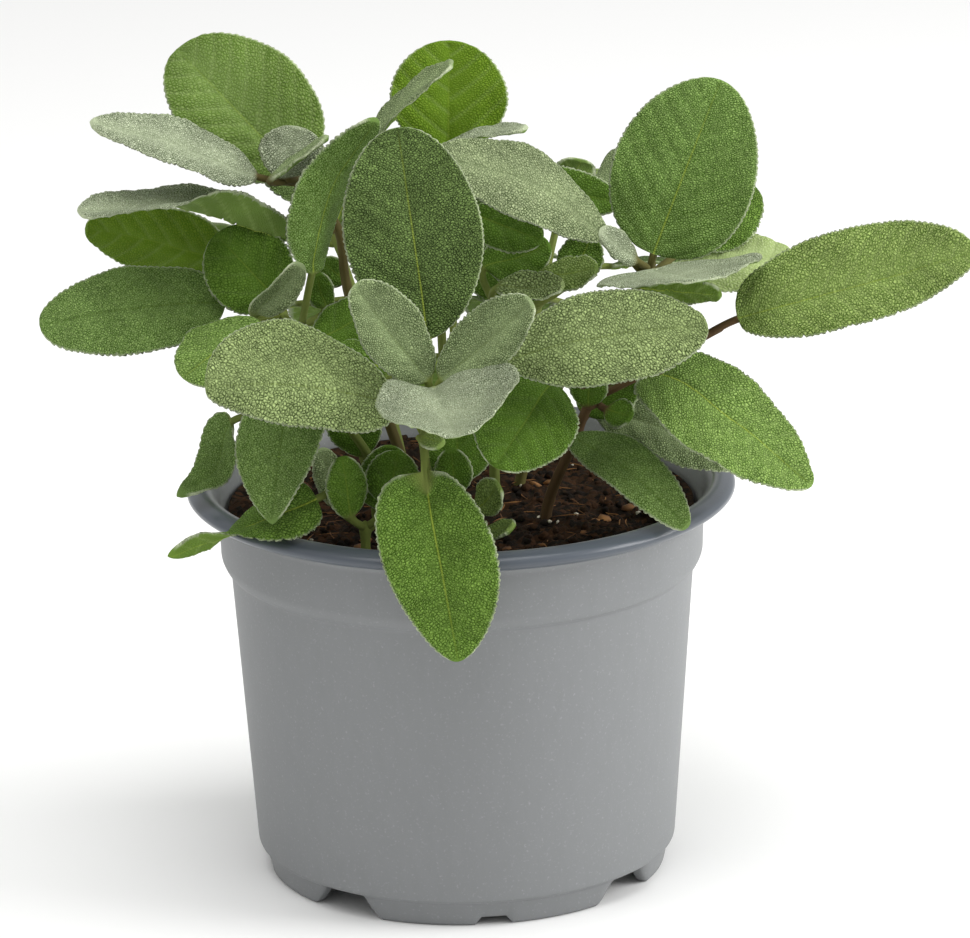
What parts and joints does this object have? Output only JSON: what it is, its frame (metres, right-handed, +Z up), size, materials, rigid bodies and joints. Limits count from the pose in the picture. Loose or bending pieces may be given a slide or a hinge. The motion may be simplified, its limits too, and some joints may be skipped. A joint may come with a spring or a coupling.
{
  "type": "potted sage",
  "caption": "Broad-leaved sage: leafy shoots with felted oval leaves, growing in dark soil in a plain grey round nursery pot that stands on moulded feet.",
  "frame": {"origin": "on the pot's axis, on the flat pad in the middle of the pot's base, level with its feet", "axes": "+Z up along the pot's axis, -Y towards the front, where one leaf hangs over the rim, +X towards the long right-hand leaf"},
  "size_m": [0.2169, 0.1717, 0.2003],
  "materials": {
    "pot_plastic": "moulded grey polypropylene, finely speckled, satin, with a glossier rim",
    "potting_soil": "loose damp peat and bark fibre, rough",
    "sage_foliage": "grey-green leaf with a pebbled surface and a felt of short pale hairs"
  },
  "bodies": {
    "root": {"pot": "pot_plastic", "soil": "potting_soil", "shoot_front": "sage_foliage", "shoot_left_front": "sage_foliage", "shoot_left": "sage_foliage", "shoot_upper_left": "sage_foliage", "shoot_top": "sage_foliage", "shoot_middle": "sage_foliage", "shoot_upper_right": "sage_foliage", "shoot_right": "sage_foliage", "tuft_left": "sage_foliage", "tuft_front": "sage_foliage", "shoot_back_left": "sage_foliage", "shoot_back_right": "sage_foliage", "shoot_back": "sage_foliage"}
  },
  "joints": []
}
